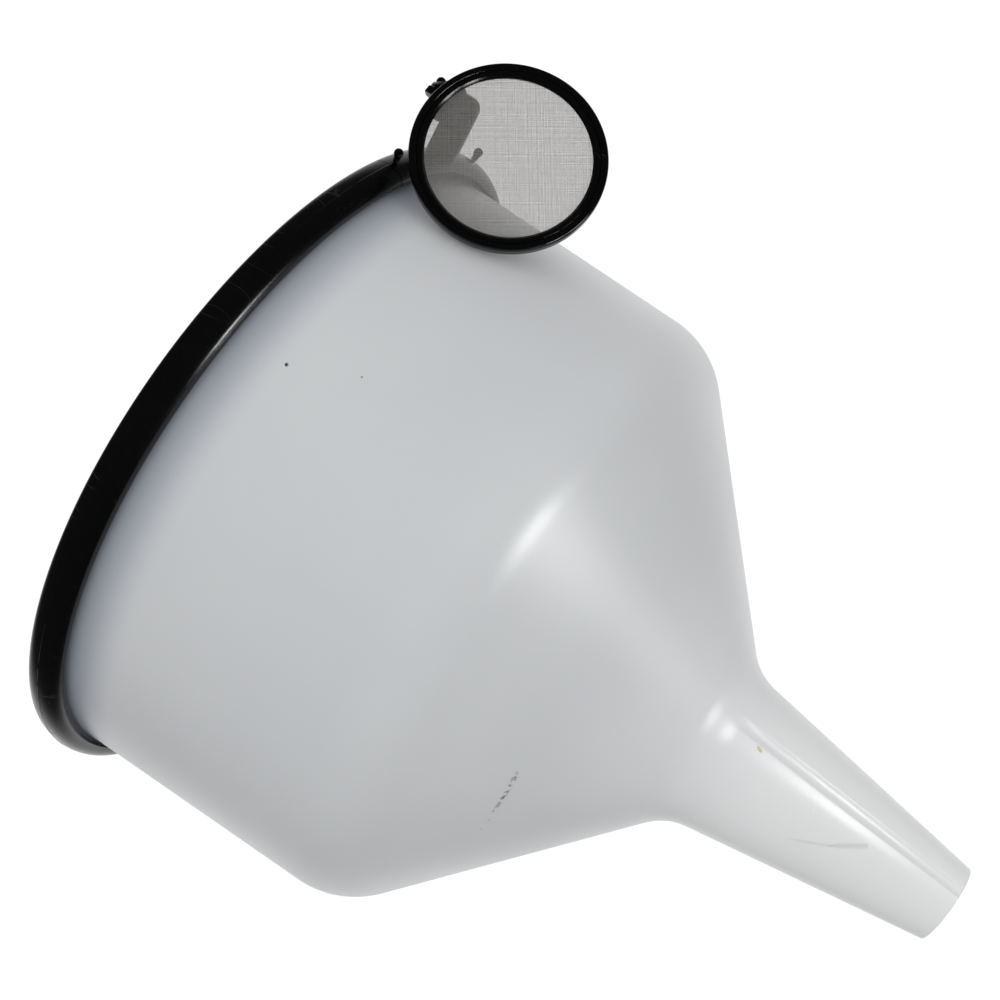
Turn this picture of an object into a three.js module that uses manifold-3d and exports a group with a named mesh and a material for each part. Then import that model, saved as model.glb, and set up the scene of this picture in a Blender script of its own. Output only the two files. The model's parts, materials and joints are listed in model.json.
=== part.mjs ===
// A large moulded funnel: a milky plastic body, a black clip-on rim trim closed by a short connector with
// a tongue, and a wire-gauze strainer that hangs from the tongue on a small hooked handle.
// Millimetres, +Z up to the mouth. The origin is on the funnel's axis, level with the lowest point of
// the spout's tip, and +X runs out through the tongue.
import * as THREE from 'three';
import { mergeVertices } from 'three/addons/utils/BufferGeometryUtils.js';
import Module from 'manifold-3d';

const wasm = await Module();
wasm.setup();

// ---- Driving dimensions ----

// Fits
const gap = 0.3;                  // between pieces that touch
const hoopToBarrel = 1.5;         // between the hanging strainer's corner and the funnel's wall

// Funnel body, outside faces
const rimDiameter = 250;          // over the rim trim
const spoutLength = 92.7;         // tip to the corner where the cone begins
const coneHeight = 75.1;          // that corner to the shoulder
const barrelHeight = 113;         // shoulder to the top of the rim trim
const rimStep = 7.8;              // the trim stands this far out from the barrel's wall
const barrelDraft = 3.2;          // the barrel narrows by this radius down to the shoulder
const throatRadius = 28.35;
const tipRadius = 13.4;
const wall = 2.4;
const shoulderFillet = 30.2;
const throatFillet = 21;
const tipSlant = 7.5;             // the tip is cut at this angle, lowest on the flute's side
const flangeThickness = 3.4;
const flangeFillet = 2.5;

// Vent flute along the outside of the spout
const fluteAzimuth = -42.5;
const fluteRadius = 2.9;
const fluteDepth = 0.8;
const fluteOverTip = 6;           // how far the flute's cutter runs on past the tip

// Rim trim, a channel that grips the flange
const trimHeight = 12;
const trimWeb = 2.2;              // thickness outside the flange
const partingDrop = 5.8;          // from the trim's top down to its widest line
const upperShoulder = 2.8;        // how far the top outer edge is rounded in
const lowerShoulder = 4.6;        // the same for the bottom outer edge
const upperLipReach = 11.2;
const lowerLipReach = 6;
const lipRounding = 0.8;

// Connector with the tongue
const connectorHalfAngle = 16.3;
const endGapAngle = 0.2;          // between the connector's end and the trim's end
const tongueLength = 21.3;        // out from the trim
const tongueHeight = 10.8;
const tongueBelowMouth = 0.8;     // its upper edge
const tongueRounding = 4.4;       // its two outer corners
const tongueThickness = 3;
const slotFromEnd = 6.7;          // tongue's end to the middle of the hook's slot
const slotBacking = 0.05;         // the tongue's root stops this far short of the flange's slot
const hookWidth = 7;
const hookThickness = 2.4;
const hookReach = 4.5;            // past the tongue's far face
const hookRoot = 2.6;             // back into the handle's flat

// Ball-headed pins: two hold the connector to the flange and one is the hinge
const pinRadius = 0.7;
const ballRadius = 1.65;
const connectorPinAngle = 14.7;
const connectorPinStandoff = 3.3; // ball centre out from the trim
const connectorPinDepth = 2.4;    // into the flange
const neckRadius = 1.15;          // of a connector pin, between the trim and the ball

// Strainer
const strainerRadius = 32.5;
const hoopDepth = 4.5;
const outerHoopWidth = 2.6;
const hoopRounding = 1.1;
const backLipWidth = 1.5;
const backLipThickness = 1.9;
const gauzeThickness = 0.3;
const innerHoopWidth = 2.2;
const innerHoopRecess = 0.3;      // below the outer hoop's front edge
const strainerTurn = 32.9;        // azimuth of the hinge pin, degrees
const strainerTilt = 11;          // the hanging strainer leans out this far from upright

// Hinge between the handle and the strainer
const hingeAboveHoop = 1.9;       // axis above the hoop's top edge
const hingeBehindFront = 9.2;     // axis behind the hoop's front face
const hingeFromMiddle = 2.2;      // knuckle's end along the pin from the hoop's middle
const hingeSide = 21.2;           // axis to the tongue's middle plane
const hingeAboveSlot = 4.7;
const knuckleHalf = 2.1;          // half the width of the knuckle's square section
const knuckleRounding = 1.1;
const knuckleStart = 2;
const knuckleLength = 2.6;
const earRadius = 2;
const earThickness = 1.4;
const earGap = 0.6;
const earRoot = 1.2;              // half the ear's width where it meets the hoop

// Handle's flat, seen in plan: the hinge's side is square to the pin, the tongue's side to the tongue
const handleStart = 2.8;          // the flat begins this far behind the axis
const handleInboard = 1;          // its corners along the pin, from the hinge point
const handleOutboard = 10.8;
const handleElbow = 9;            // the inboard side's corner, behind the axis
const shoulderInboard = 0.7;      // past the hook on each side, at the tongue's face
const shoulderOutboard = 3.1;
const flare = 3.3;                // the outboard corner past its shoulder
const flareBack = 4.2;            // and back from the tongue's face
const cornerRounding = 1.2;
const elbowRounding = 3;

// Facets round the turned pieces
const bodySides = 48;
const trimSides = 60;
const hoopSides = 40;

// ---- Derived places ----

const rimRadius = rimDiameter / 2;
const mouthHeight = spoutLength + coneHeight + barrelHeight;
const shoulderHeight = spoutLength + coneHeight;
const wallTopRadius = rimRadius - rimStep;
const shoulderRadius = wallTopRadius - barrelDraft;
const flangeRadius = rimRadius - trimWeb - gap;
const partingHeight = mouthHeight - partingDrop;
const flangeTop = partingHeight + flangeThickness / 2;
const flangeBottom = partingHeight - flangeThickness / 2;
const holeRadius = pinRadius + gap;
const slotX = rimRadius + tongueLength - slotFromEnd;
const tongueMiddle = mouthHeight - tongueBelowMouth - tongueHeight / 2;
const cutterEnd = 1;              // cutters run on this far past what they cut

const rad = THREE.MathUtils.degToRad;
const v2 = (x, y) => new THREE.Vector2(x, y);
const along = v2(Math.cos(rad(strainerTurn)), Math.sin(rad(strainerTurn)));   // the hinge pin, in plan
const inward = v2(-along.y, along.x);                                         // hinge to tongue, in plan
const lean = Math.sin(rad(strainerTilt));
const upright = Math.cos(rad(strainerTilt));

// In plan, the hoop's back inboard corner lies hoopToBarrel away from the barrel, at the hoop's
// mid height. That sets how far out the hinge is.
const hoopDrop = strainerRadius + hingeAboveHoop;
const middleFromHinge = along.clone().multiplyScalar(-hingeFromMiddle)
  .addScaledVector(inward, hoopDrop * lean - (hingeBehindFront - hoopDepth) * upright);
const cornerFromHinge = middleFromHinge.clone().addScaledVector(along, -strainerRadius);
const cornerY = cornerFromHinge.y - hingeSide;
const hingeHeight = tongueMiddle + hingeAboveSlot;
const hoopBelowRim = mouthHeight - hingeHeight + hoopDrop * upright;
const wallAtHoop = wallTopRadius - barrelDraft * hoopBelowRim / barrelHeight;
const cornerX = Math.sqrt((wallAtHoop + hoopToBarrel) ** 2 - cornerY ** 2);
const hinge = new THREE.Vector3(cornerX - cornerFromHinge.x, -hingeSide, hingeHeight);

// ---- Shape helpers ----

// A closed or open outline through corners [x, y, fillet]; each fillet is an arc.
function outline(corners, closed = true) {
  const points = [];
  corners.forEach(([x, y, fillet = 0], i) => {
    const here = v2(x, y);
    const last = corners.length - 1;
    if (fillet === 0 || (!closed && (i === 0 || i === last))) {
      points.push(here);
      return;
    }
    const before = v2(...corners[i === 0 ? last : i - 1].slice(0, 2)).sub(here);
    const after = v2(...corners[i === last ? 0 : i + 1].slice(0, 2)).sub(here);
    const turn = Math.PI - Math.acos(before.dot(after) / before.length() / after.length());
    const setback = Math.min(fillet * Math.tan(turn / 2), before.length() * 0.49, after.length() * 0.49);
    const start = here.clone().addScaledVector(before.normalize(), setback);
    const end = here.clone().addScaledVector(after.normalize(), setback);
    const radius = setback / Math.tan(turn / 2);
    const centre = here.clone().addScaledVector(before.add(after).normalize(), radius / Math.cos(turn / 2));
    const steps = Math.max(2, Math.ceil(turn / rad(radius > 10 ? 8 : 30)));
    const from = start.sub(centre).angle();
    let sweep = end.sub(centre).angle() - from;
    if (sweep > Math.PI) sweep -= 2 * Math.PI;
    if (sweep < -Math.PI) sweep += 2 * Math.PI;
    for (let k = 0; k <= steps; k++) {
      const angle = from + sweep * k / steps;
      points.push(v2(Math.cos(angle), Math.sin(angle)).multiplyScalar(radius).add(centre));
    }
  });
  return points;
}

// A quarter of an ellipse from one angle to another, ends included.
function ellipse(cx, cy, rx, ry, fromDegrees, toDegrees, steps) {
  return Array.from({ length: steps + 1 }, (_, k) => {
    const angle = rad(fromDegrees + (toDegrees - fromDegrees) * k / steps);
    return v2(cx + rx * Math.cos(angle), cy + ry * Math.sin(angle));
  });
}

// A (radius, height) outline that closes on itself, turned about Z.
function revolve(points, segments) {
  return new THREE.LatheGeometry([...points, points[0]], segments).rotateX(Math.PI / 2);
}

// A plan outline given a height, from z = bottom upwards.
function prism(points, bottom, height) {
  return new THREE.ExtrudeGeometry(new THREE.Shape(points), { depth: height, bevelEnabled: false })
    .translate(0, 0, bottom);
}

// A round bar along +X from x = start.
function barAlongX(radius, start, length, segments = 20) {
  return new THREE.CylinderGeometry(radius, radius, length, segments).rotateZ(-Math.PI / 2)
    .translate(start + length / 2, 0, 0);
}

function solid(geometry) {
  const bare = geometry.clone();
  bare.deleteAttribute('normal');
  bare.deleteAttribute('uv');
  const merged = mergeVertices(bare, 1e-4);
  return new wasm.Manifold(new wasm.Mesh({
    numProp: 3,
    vertProperties: new Float32Array(merged.attributes.position.array),
    triVerts: new Uint32Array(merged.index.array),
  }));
}

function geometryOf(manifold) {
  const { vertProperties, triVerts } = manifold.getMesh();
  const geometry = new THREE.BufferGeometry();
  geometry.setAttribute('position', new THREE.BufferAttribute(vertProperties, 3));
  geometry.setIndex(new THREE.BufferAttribute(triVerts, 1));
  geometry.computeVertexNormals();
  return geometry;
}

function piece(name, geometry, material) {
  const mesh = new THREE.Mesh(geometry, material);
  mesh.name = name;
  return mesh;
}

const milkyPlastic = new THREE.MeshStandardMaterial({ color: 0xdfe2e4, roughness: 0.42, metalness: 0 });
const blackPlastic = new THREE.MeshStandardMaterial({ color: 0x121214, roughness: 0.3, metalness: 0 });
const wire = new THREE.MeshStandardMaterial({ color: 0x9a9892, roughness: 0.4, metalness: 0.8 });

// ---- Funnel body ----

// The corner inside b, a wall's thickness in from the lines a-b and b-c.
function insideCorner(a, b, c) {
  const first = b.clone().sub(a).normalize();
  const second = c.clone().sub(b).normalize();
  const normals = v2(-first.y - second.y, first.x + second.x);
  return b.clone().addScaledVector(normals, wall / (1 + first.dot(second)));
}

// The same at an end of the outline, where the cut is level.
function insideEnd(end, other) {
  const rise = Math.abs(end.clone().sub(other).normalize().y);
  return v2(end.x - wall / rise, end.y);
}

function funnelBody() {
  const tip = v2(tipRadius, 0);
  const throat = v2(throatRadius, spoutLength);
  const shoulder = v2(shoulderRadius, shoulderHeight);
  const top = v2(wallTopRadius, flangeTop);
  const tipInside = insideEnd(tip, throat);
  const throatInside = insideCorner(tip, throat, shoulder);
  const shoulderInside = insideCorner(throat, shoulder, top);
  const topInside = insideEnd(top, shoulder);
  const shell = solid(revolve(outline([
    [tip.x, tip.y],
    [throat.x, throat.y, throatFillet],
    [shoulder.x, shoulder.y, shoulderFillet],
    [wallTopRadius, flangeBottom, flangeFillet],
    [flangeRadius, flangeBottom],
    [flangeRadius, flangeTop],
    [topInside.x, topInside.y, lipRounding],
    [shoulderInside.x, shoulderInside.y, shoulderFillet - wall],
    [throatInside.x, throatInside.y, throatFillet + wall],
    [tipInside.x, tipInside.y],
  ]), bodySides));

  // The flute is a round bar sunk along the spout's outside, ending where the fillet begins.
  const slope = throat.clone().sub(tip).normalize();
  const spoutAngle = Math.atan2(slope.x, slope.y);
  const coneAngle = Math.atan2(shoulder.x - throat.x, shoulder.y - throat.y);
  const filletRun = throatFillet * Math.tan((coneAngle - spoutAngle) / 2);
  const run = throat.distanceTo(tip) - filletRun - fluteRadius;
  const flute = solid(new THREE.CapsuleGeometry(fluteRadius, run + fluteOverTip, 6, 20)
    .translate(0, (run - fluteOverTip) / 2, 0)
    .rotateZ(-spoutAngle)
    .rotateX(Math.PI / 2)
    .translate(tipRadius + (fluteRadius - fluteDepth) / Math.cos(spoutAngle), 0, 0)
    .rotateZ(rad(fluteAzimuth)));

  const below = throatRadius;
  const slant = solid(new THREE.BoxGeometry(4 * below, 4 * below, below).translate(0, 0, -below / 2)
    .rotateY(rad(tipSlant)).translate(tipRadius, 0, 0).rotateZ(rad(fluteAzimuth)));
  return geometryOf(shell.subtract(flute).subtract(slant).subtract(connectorPinHoles()));
}

// ---- Rim trim and the connector that closes it ----

function connectorPinHoles() {
  const bar = barAlongX(holeRadius, flangeRadius - connectorPinDepth - gap, rimStep + connectorPinDepth);
  const [one, two] = [-1, 1].map((side) => solid(bar.clone()
    .rotateZ(rad(side * connectorPinAngle)).translate(0, 0, partingHeight)));
  return one.add(two);
}

function trimRing() {
  const bottom = mouthHeight - trimHeight;
  const slotRadius = flangeRadius + gap;
  const inner = rimRadius - upperLipReach;
  const lowerInner = rimRadius - lowerLipReach;
  return solid(revolve([
    ...outline([[lowerInner, bottom + lipRounding], [lowerInner + lipRounding, bottom]], false),
    ...ellipse(rimRadius - lowerShoulder, partingHeight, lowerShoulder, trimHeight - partingDrop, -90, 0, 4),
    ...ellipse(rimRadius - upperShoulder, partingHeight, upperShoulder, partingDrop, 0, 90, 4).slice(1),
    v2(inner + lipRounding, mouthHeight),
    v2(inner, mouthHeight - lipRounding),
    v2(inner, flangeTop + gap),
    v2(slotRadius, flangeTop + gap),
    v2(slotRadius, flangeBottom - gap),
    v2(lowerInner, flangeBottom - gap),
  ], trimSides));
}

// A sector about +X that takes in the whole height of the trim.
function sector(halfAngle) {
  const reach = 2 * rimRadius;
  const side = v2(Math.cos(rad(halfAngle)), Math.sin(rad(halfAngle))).multiplyScalar(reach);
  const points = [v2(0, 0), v2(side.x, -side.y), v2(reach, 0), v2(side.x, side.y)];
  return solid(prism(points, mouthHeight - 2 * trimHeight, 3 * trimHeight));
}

function tonguePlate() {
  const start = rimRadius - trimWeb + slotBacking;
  const end = rimRadius + tongueLength;
  const low = tongueMiddle - tongueHeight / 2;
  const high = tongueMiddle + tongueHeight / 2;
  const points = outline([
    [start, low],
    [end, low, tongueRounding],
    [end, high, tongueRounding],
    [start, high],
  ]);
  const plate = prism(points, -tongueThickness / 2, tongueThickness).rotateX(Math.PI / 2);
  const slot = new THREE.BoxGeometry(hookWidth + 2 * gap, 2 * tongueThickness, hookThickness + 2 * gap)
    .translate(slotX, 0, tongueMiddle);
  return solid(plate).subtract(solid(slot));
}

function rimTrim() {
  return geometryOf(trimRing().subtract(sector(connectorHalfAngle)));
}

function tongueConnector() {
  const segment = trimRing().intersect(sector(connectorHalfAngle - endGapAngle));
  return geometryOf(segment.add(tonguePlate()).subtract(connectorPinHoles()));
}

// ---- Ball-headed pins ----

// Along +X from its tail at x = 0 to the middle of its ball at x = length.
function ballPin(length) {
  const shank = solid(barAlongX(pinRadius, 0, length, 16));
  return shank.add(solid(new THREE.SphereGeometry(ballRadius, 20, 12).translate(length, 0, 0)));
}

function connectorPin(name, side) {
  const tail = flangeRadius - connectorPinDepth;
  const length = rimRadius + connectorPinStandoff - tail;
  const neckLength = connectorPinStandoff - gap;
  const neck = solid(barAlongX(neckRadius, length - neckLength, neckLength, 16));
  const pin = piece(name, geometryOf(ballPin(length).add(neck)), blackPlastic);
  const azimuth = rad(side * connectorPinAngle);
  pin.position.set(tail * Math.cos(azimuth), tail * Math.sin(azimuth), partingHeight);
  pin.rotation.z = azimuth;
  return pin;
}

// ---- Strainer handle ----

const knuckleEnd = knuckleStart + knuckleLength;
const earEnd = knuckleEnd + earGap + earThickness;

function hingePin() {
  const tail = knuckleStart + gap;
  const mesh = piece('hinge_pin', geometryOf(ballPin(earEnd + ballRadius - tail)), blackPlastic);
  mesh.position.x = tail;
  return mesh;
}

function strainerHandle() {
  const face = -tongueThickness / 2 - gap;
  const inboard = slotX - hookWidth / 2 - shoulderInboard;
  const outboard = slotX + hookWidth / 2 + shoulderOutboard;
  const onPin = (a, b, fillet = 0) => {
    const p = v2(hinge.x, hinge.y).addScaledVector(along, a).addScaledVector(inward, b);
    return [p.x, p.y, fillet];
  };

  // The flat falls from the hinge to the slot as it goes in to the tongue.
  const toSlot = v2(slotX - hinge.x, face - hinge.y).dot(inward);
  const fall = hingeAboveSlot / toSlot;
  const flat = prism(outline([
    onPin(knuckleStart, 0),
    onPin(knuckleEnd, 0),
    onPin(knuckleEnd, handleStart),
    onPin(handleOutboard, handleStart, cornerRounding),
    [outboard + flare, face - flareBack, elbowRounding],
    [outboard, face],
    [inboard, face],
    onPin(-handleInboard, handleElbow, elbowRounding),
    onPin(-handleInboard, handleStart, cornerRounding),
    onPin(knuckleStart, handleStart),
  ]), hinge.z - hookThickness / 2, hookThickness);
  const shear = new THREE.Matrix4().set(
    1, 0, 0, 0,
    0, 1, 0, 0,
    -fall * inward.x, -fall * inward.y, 1, fall * inward.dot(v2(hinge.x, hinge.y)),
    0, 0, 0, 1,
  );
  const hookLength = hookRoot + gap + tongueThickness + hookReach;
  const hook = new THREE.BoxGeometry(hookWidth, hookLength, hookThickness)
    .translate(slotX, face - hookRoot + hookLength / 2, tongueMiddle);
  const section = outline([
    [-knuckleHalf, -knuckleHalf, knuckleRounding],
    [knuckleHalf, -knuckleHalf, knuckleRounding],
    [knuckleHalf, knuckleHalf, knuckleRounding],
    [-knuckleHalf, knuckleHalf, knuckleRounding],
  ]);
  const knuckle = prism(section, 0, knuckleLength).rotateY(Math.PI / 2).translate(knuckleStart, 0, 0);
  const bore = barAlongX(holeRadius, knuckleStart - cutterEnd, knuckleLength + 2 * cutterEnd);
  const place = (geometry) => solid(geometry.rotateZ(rad(strainerTurn)).translate(hinge.x, hinge.y, hinge.z));
  return geometryOf(solid(flat.applyMatrix4(shear))
    .add(solid(hook)).add(place(knuckle)).subtract(place(bore)));
}

// ---- Strainer, built about the hinge: X along the pin, Y up the disc, Z out of its front ----

const hoopCentre = new THREE.Vector3(-hingeFromMiddle, -hoopDrop, hingeBehindFront);
const outerHoopInside = strainerRadius - outerHoopWidth;
const gauzeBack = -hoopDepth + backLipThickness + gap;
const gauzeFront = gauzeBack + gauzeThickness;

function outerHoop() {
  const ring = revolve(outline([
    [outerHoopInside - backLipWidth, -hoopDepth],
    [strainerRadius, -hoopDepth, hoopRounding],
    [strainerRadius, 0, hoopRounding],
    [outerHoopInside, 0, hoopRounding / 2],
    [outerHoopInside, -hoopDepth + backLipThickness],
    [outerHoopInside - backLipWidth, -hoopDepth + backLipThickness],
  ]), hoopSides);
  const hoop = solid(ring.translate(...hoopCentre));

  // The ear runs from the hoop's back edge to the pin.
  const root = v2(hingeBehindFront - hoopDepth + hoopRounding, -hingeAboveHoop - outerHoopWidth / 2);
  const away = root.clone().normalize();
  const across = v2(-away.y, away.x).multiplyScalar(earRoot);
  const bearing = away.angle() * 180 / Math.PI;
  const earOutline = [
    ...ellipse(0, 0, earRadius, earRadius, bearing + 90, bearing + 270, 12),
    root.clone().sub(across),
    root.clone().add(across),
  ];
  const ear = solid(prism(earOutline, 0, earThickness).rotateY(-Math.PI / 2).translate(earEnd, 0, 0));
  const bore = solid(barAlongX(holeRadius, earEnd - earThickness - cutterEnd, earThickness + 2 * cutterEnd));
  return geometryOf(hoop.add(ear).subtract(bore));
}

function innerHoop() {
  const inside = outerHoopInside - gap - innerHoopWidth;
  return revolve(outline([
    [inside, gauzeFront + gap],
    [outerHoopInside - gap, gauzeFront + gap],
    [outerHoopInside - gap, -innerHoopRecess, hoopRounding / 2],
    [inside + innerHoopWidth / 2, -innerHoopRecess, hoopRounding / 2],
    [inside, -innerHoopRecess - innerHoopWidth / 2],
  ]), hoopSides).translate(...hoopCentre);
}

function gauze() {
  return new THREE.CylinderGeometry(outerHoopInside - gap, outerHoopInside - gap, gauzeThickness, hoopSides)
    .rotateX(Math.PI / 2).translate(hoopCentre.x, hoopCentre.y, hoopCentre.z + (gauzeBack + gauzeFront) / 2);
}

// ---- Assembly ----

const funnel = new THREE.Group();
funnel.add(
  piece('funnel_body', funnelBody(), milkyPlastic),
  piece('rim_trim', rimTrim(), blackPlastic),
  piece('tongue_connector', tongueConnector(), blackPlastic),
  connectorPin('connector_pin_left', -1),
  connectorPin('connector_pin_right', 1),
  piece('strainer_handle', strainerHandle(), blackPlastic),
);

const atHinge = new THREE.Group();
atHinge.position.copy(hinge);
atHinge.rotation.set(0, 0, rad(strainerTurn));
atHinge.add(hingePin());

const strainer = new THREE.Group();
strainer.rotation.x = rad(90 + strainerTilt);
strainer.add(
  piece('strainer_outer_hoop', outerHoop(), blackPlastic),
  piece('strainer_inner_hoop', innerHoop(), blackPlastic),
  piece('strainer_gauze', gauze(), wire),
);
atHinge.add(strainer);
funnel.add(atHinge);

export default funnel;
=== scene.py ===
import json
import math

import bmesh
import bpy
import numpy as np
from mathutils import Matrix, Vector


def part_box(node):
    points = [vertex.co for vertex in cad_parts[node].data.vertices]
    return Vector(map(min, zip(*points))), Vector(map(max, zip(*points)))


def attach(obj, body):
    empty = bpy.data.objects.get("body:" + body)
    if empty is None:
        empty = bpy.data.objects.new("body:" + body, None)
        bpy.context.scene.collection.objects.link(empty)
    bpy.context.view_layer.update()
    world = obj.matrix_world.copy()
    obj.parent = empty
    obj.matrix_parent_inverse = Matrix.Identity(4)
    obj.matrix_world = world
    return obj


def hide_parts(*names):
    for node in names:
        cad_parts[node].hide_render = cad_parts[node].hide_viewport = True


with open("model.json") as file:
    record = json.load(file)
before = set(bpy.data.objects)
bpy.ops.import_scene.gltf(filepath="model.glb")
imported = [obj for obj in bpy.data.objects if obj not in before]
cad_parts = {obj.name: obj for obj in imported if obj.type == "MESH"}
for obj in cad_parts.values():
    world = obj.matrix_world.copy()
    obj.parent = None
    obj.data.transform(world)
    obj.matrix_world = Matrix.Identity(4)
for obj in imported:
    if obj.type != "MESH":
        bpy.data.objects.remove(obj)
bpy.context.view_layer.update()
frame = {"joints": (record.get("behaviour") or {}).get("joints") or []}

MM = 0.001

# ---- Sizes, millimetres ----

# Funnel body
SPOUT_LENGTH = 92.7
CONE_HEIGHT = 75.1
THROAT_RADIUS = 28.35
TIP_RADIUS = 13.4
RIM_STEP = 7.8
BARREL_DRAFT = 3.2
WALL = 2.4
SHOULDER_FILLET = 30.2
THROAT_FILLET = 21.0
TIP_ROUNDING = 0.7
TIP_SLANT = 7.5
TIP_FLOOR = 0.04  # how far the visual tip stays above the CAD tip
FLANGE_THICKNESS = 3.4
FLANGE_FILLET = 2.5
FLUTE_AZIMUTH = -42.5
FLUTE_HALF_WIDTH = 2.3
FLUTE_DEPTH = 0.8
FLUTE_EDGE = 0.1
FLUTE_FADE = 14.0
FLUTE_NARROWING = 0.20
FLUTE_TAPER = 45.0
SLANT_REACH = 14.0  # the slant dies out over this height above the tip

# Rim trim and its connector
TRIM_WEB = 2.2
PARTING_DROP = 5.8
UPPER_SHOULDER = 2.8
LOWER_SHOULDER = 4.6
UPPER_LIP = 11.2
LOWER_LIP = 6.0
LIP_ROUNDING = 0.8
FLASH_HEIGHT = 0.14
NICK_HALF_ANGLE = 0.006  # radians
NICK_DEPTH = -1.6  # in flash heights
FIT = 0.3
CONNECTOR_HALF_ANGLE = 16.3
END_GAP_ANGLE = 0.2
TONGUE_HEIGHT = 10.8
TONGUE_BELOW_MOUTH = 0.8
TONGUE_ROUNDING = 4.4
TONGUE_THICKNESS = 3.0
SLOT_FROM_END = 6.7
HOOK_WIDTH = 7.0
HOOK_THICKNESS = 2.4
HOOK_REACH = 4.5
HOOK_ROOT = 2.6

# Ball-headed pins
PIN_RADIUS = 0.7
BALL_RADIUS = 1.65
CONNECTOR_PIN_ANGLE = 14.7
CONNECTOR_PIN_STANDOFF = 3.3
CONNECTOR_PIN_DEPTH = 2.4
NECK_RADIUS = 1.1

# Strainer and its hinge
STRAINER_RADIUS = 32.5
STRAINER_TILT = 11.0
HOOP_DEPTH = 4.5
OUTER_HOOP_WIDTH = 2.6
BACK_LIP_WIDTH = 1.5
BACK_LIP_THICKNESS = 1.9
INNER_HOOP_WIDTH = 2.2
INNER_HOOP_RECESS = 0.3
GAUZE_THICKNESS = 0.3
GAUZE_PITCH = 0.31
WIRE_DIAMETER = 0.125
WIRE_STRAY = 0.20  # how far a wire strays from its place, as a share of the pitch
WIRE_FULLNESS = 0.62  # corner radius of the three-sided wire, as a share of the diameter
GAUZE_TURN = -53.0
HINGE_ABOVE_HOOP = 1.9
HINGE_BEHIND_FRONT = 9.2
HINGE_FROM_MIDDLE = 2.2
HINGE_ABOVE_SLOT = 4.7
KNUCKLE_HALF = 2.1
KNUCKLE_ROUNDING = 1.1
KNUCKLE_START = 2.0
KNUCKLE_LENGTH = 2.6
EAR_RADIUS = 2.0
EAR_THICKNESS = 1.4
EAR_GAP = 0.6
EAR_ROOT = 1.2

# Handle's flat
HANDLE_START = 2.8
HANDLE_INBOARD = 1.0
HANDLE_OUTBOARD = 10.8
HANDLE_ELBOW = 9.0
SHOULDER_INBOARD = 0.7
SHOULDER_OUTBOARD = 3.1
FLARE = 3.3
FLARE_BACK = 4.2
CORNER_ROUNDING = 1.2
ELBOW_ROUNDING = 3.0

# ---- Places from the frame, turned to millimetres ----

trim_low, trim_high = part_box("rim_trim")
RIM_RADIUS = trim_high.y / MM
MOUTH = trim_high.z / MM
TRIM_BOTTOM = trim_low.z / MM
FLANGE_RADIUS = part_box("funnel_body")[1].y / MM
FLANGE_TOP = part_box("funnel_body")[1].z / MM
FLANGE_BOTTOM = FLANGE_TOP - FLANGE_THICKNESS
PARTING = MOUTH - PARTING_DROP
TONGUE_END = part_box("tongue_connector")[1].x / MM
SLOT_X = TONGUE_END - SLOT_FROM_END
TONGUE_MIDDLE = MOUTH - TONGUE_BELOW_MOUTH - TONGUE_HEIGHT / 2
swing = next(j for j in frame["joints"] if j["name"] == "strainer_swing")
HINGE = Vector(swing["pos_m"]) / MM
PIN_AXIS = -Vector(swing["axis"]).normalized()
INWARD = Vector((-PIN_AXIS.y, PIN_AXIS.x, 0))
PIN_TURN = math.atan2(PIN_AXIS.y, PIN_AXIS.x)

# ---- Camera ----


CAMERA_PLACE = (0.2610, -0.6062, 0.0363)
CAMERA_RIGHT = Vector((0.4603, 0.3413, -0.8195))
CAMERA_UP = Vector((0.8440, 0.1175, 0.5232))
CAMERA_LENS = 69.67
CAMERA_SHIFT = (-0.0923, -0.1104)


def add_camera():
    back = CAMERA_RIGHT.cross(CAMERA_UP).normalized()
    up = back.cross(CAMERA_RIGHT).normalized()
    data = bpy.data.cameras.new("camera")
    data.lens = CAMERA_LENS
    data.sensor_width = 36.0
    data.shift_x, data.shift_y = CAMERA_SHIFT
    camera = bpy.data.objects.new("camera", data)
    bpy.context.scene.collection.objects.link(camera)
    turn = Matrix((CAMERA_RIGHT.normalized(), up, back)).transposed().to_4x4()
    camera.matrix_world = Matrix.Translation(CAMERA_PLACE) @ turn
    bpy.context.scene.camera = camera


add_camera()

# ---- Outlines ----


def arc_corner(before, here, after, fillet, step):
    """The points of a fillet at one corner of an outline."""
    a, b = np.subtract(before, here), np.subtract(after, here)
    la, lb = np.hypot(*a), np.hypot(*b)
    turn = math.pi - math.acos(max(-1.0, min(1.0, a @ b / la / lb)))
    setback = min(fillet * math.tan(turn / 2), 0.49 * la, 0.49 * lb)
    radius = setback / math.tan(turn / 2)
    a, b = a / la, b / lb
    middle = (a + b) / np.hypot(*(a + b))
    centre = here + middle * radius / math.cos(turn / 2)
    start, end = here + a * setback - centre, here + b * setback - centre
    first = math.atan2(start[1], start[0])
    sweep = (math.atan2(end[1], end[0]) - first + math.pi) % (2 * math.pi) - math.pi
    count = max(3, math.ceil(abs(sweep) / math.radians(step)))
    angles = first + sweep * np.linspace(0, 1, count + 1)
    return [tuple(centre + radius * np.array((math.cos(t), math.sin(t)))) for t in angles]


def outline(corners, step=6.0):
    """A closed outline through corners (x, y) or (x, y, fillet)."""
    points = []
    for i, corner in enumerate(corners):
        if len(corner) == 2:
            points.append(tuple(corner))
            continue
        before, after = corners[i - 1][:2], corners[(i + 1) % len(corners)][:2]
        points += arc_corner(before, np.array(corner[:2], float), after, corner[2], step)
    return points


def rectangle(cx, cy, half_width, half_height, fillet, step):
    corners = ((-1, -1), (1, -1), (1, 1), (-1, 1))
    return outline([(cx + half_width * x, cy + half_height * y, fillet) for x, y in corners], step)


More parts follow.
